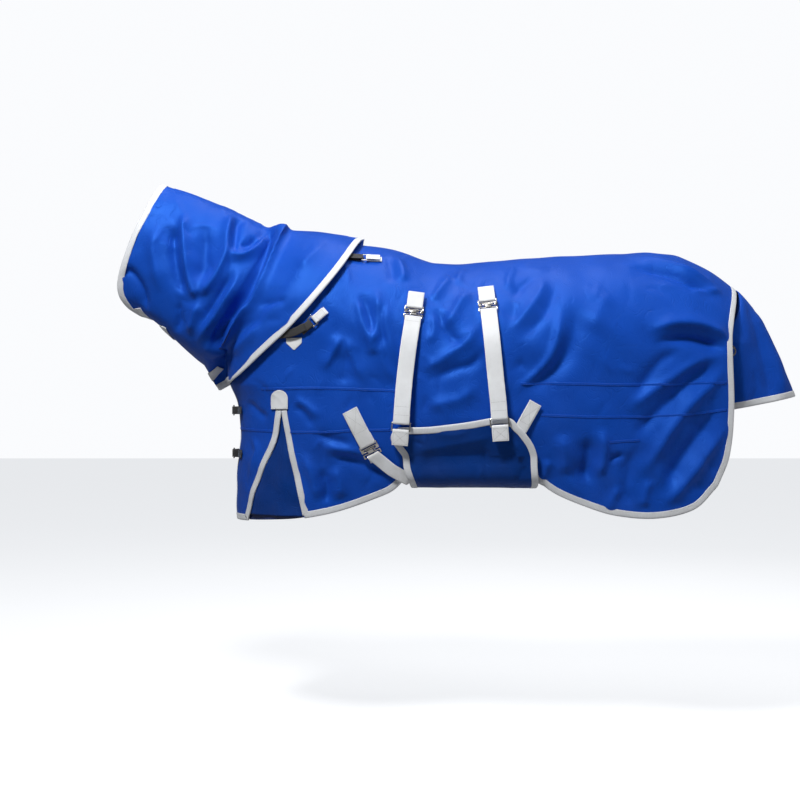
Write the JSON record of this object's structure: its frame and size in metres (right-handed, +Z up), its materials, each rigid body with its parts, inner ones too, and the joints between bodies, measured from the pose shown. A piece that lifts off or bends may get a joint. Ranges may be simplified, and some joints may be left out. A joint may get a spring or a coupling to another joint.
{
  "type": "turnout rug",
  "caption": "Fitted horse rug with a neck cover, tail flap and a belly wrap held up by webbing straps with metal clips and sliders.",
  "frame": {"origin": "the point on the withers where the rug rests, on the centre plane", "axes": "+X from the withers to the tail, -Y to the near (left) side, +Z up"},
  "size_m": [2.2129, 0.7386, 1.1018],
  "materials": {
    "shell": "woven nylon with a satin sheen",
    "lining": "smooth woven nylon",
    "webbing": "woven webbing, matt",
    "binding": "folded tape, slight sheen",
    "metal": "nickel plated, polished",
    "elastic": "woven, matt"
  },
  "bodies": {
    "rug": {"chest_lower_loop": "metal", "chest_lower_strap": "elastic", "chest_lower_tab": "webbing", "chest_upper_loop": "metal", "chest_upper_strap": "elastic", "chest_upper_tab": "webbing", "front_surcingle": "webbing", "lining": "lining", "near_front_plate": "metal", "near_front_tab": "webbing", "near_gusset": "shell", "near_gusset_binding": "binding", "near_hem_binding": "binding", "near_lower_neck_elastic": "elastic", "near_lower_neck_loop": "metal", "near_lower_neck_tab": "webbing", "near_rear_plate": "metal", "near_rear_tab": "webbing", "near_ring_tab": "webbing", "near_shell": "shell", "near_upper_neck_elastic": "elastic", "near_upper_neck_loop": "metal", "near_upper_neck_tab": "webbing", "near_yoke": "shell", "off_front_strap": "webbing", "off_gusset": "shell", "off_gusset_binding": "binding", "off_hem_binding": "binding", "off_rear_strap": "webbing", "off_ring_tab": "webbing", "off_shell": "shell", "off_wrap": "shell", "off_wrap_binding": "binding", "off_yoke": "shell", "rear_surcingle": "webbing", "shoulder_binding": "binding", "surcingle_hook": "metal", "surcingle_plate": "metal", "surcingle_tab": "webbing"},
    "neck_cover": {"near_neck_panel": "shell", "off_neck_panel": "shell", "poll_binding": "binding"},
    "upper_throat_tab": {"upper_throat_tab": "webbing"},
    "middle_throat_tab": {"middle_throat_tab": "webbing"},
    "lower_throat_tab": {"lower_throat_tab": "webbing"},
    "tail_flap": {"tail_flap": "shell", "tail_flap_binding": "binding"},
    "near_wrap": {"near_wrap": "shell", "near_wrap_binding": "binding", "near_front_slider": "metal", "near_rear_slider": "metal", "near_front_wrap_tab": "webbing", "near_rear_wrap_tab": "webbing"},
    "near_front_strap": {"near_front_strap": "webbing", "near_front_hook": "metal"},
    "near_rear_strap": {"near_rear_strap": "webbing", "near_rear_hook": "metal"},
    "near_ring": {"near_ring": "metal"},
    "off_ring": {"off_ring": "metal"}
  },
  "joints": [
    {"name": "neck_fold", "type": "hinge", "parent": "rug", "child": "neck_cover", "pos_m": [-0.37, 0, -0.185], "axis": [0, 1, 0], "range_deg": [-6, 10]},
    {"name": "upper_throat_peel", "type": "hinge", "parent": "neck_cover", "child": "upper_throat_tab", "pos_m": [-0.7036, 0.05723, -0.23918], "axis": [0.8131, 0.5369, -0.225], "range_deg": [0, 90]},
    {"name": "middle_throat_peel", "type": "hinge", "parent": "neck_cover", "child": "middle_throat_tab", "pos_m": [-0.62823, 0.06378, -0.2949], "axis": [0.7471, 0.3983, -0.5322], "range_deg": [0, 90]},
    {"name": "lower_throat_peel", "type": "hinge", "parent": "rug", "child": "lower_throat_tab", "pos_m": [-0.47378, 0.06686, -0.41727], "axis": [0.7785, -0.6254, -0.0533], "range_deg": [0, 90]},
    {"name": "tail_flap_lift", "type": "hinge", "parent": "rug", "child": "tail_flap", "pos_m": [1.236, 0, -0.146], "axis": [0, -1, 0], "range_deg": [0, 70]},
    {"name": "near_wrap_drop", "type": "hinge", "parent": "rug", "child": "near_wrap", "pos_m": [0.33, 0, -0.79], "axis": [1, 0, 0], "range_deg": [0, 80]},
    {"name": "near_front_strap_swing", "type": "hinge", "parent": "near_wrap", "child": "near_front_strap", "pos_m": [0.13586, -0.33565, -0.58182], "axis": [0.9886, -0.1313, -0.0733], "range_deg": [0, 100]},
    {"name": "near_rear_strap_swing", "type": "hinge", "parent": "near_wrap", "child": "near_rear_strap", "pos_m": [0.43341, -0.36549, -0.56759], "axis": [0.9975, -0.0259, 0.0656], "range_deg": [0, 100]},
    {"name": "near_ring_swing", "type": "hinge", "parent": "rug", "child": "near_ring", "pos_m": [1.16344, -0.24047, -0.35451], "axis": [-0.4946, -0.3725, -0.7852], "range_deg": [-15, 30]},
    {"name": "off_ring_swing", "type": "hinge", "parent": "rug", "child": "off_ring", "pos_m": [1.16344, 0.24047, -0.35451], "axis": [0.4946, -0.3725, 0.7852], "range_deg": [-15, 30]}
  ]
}
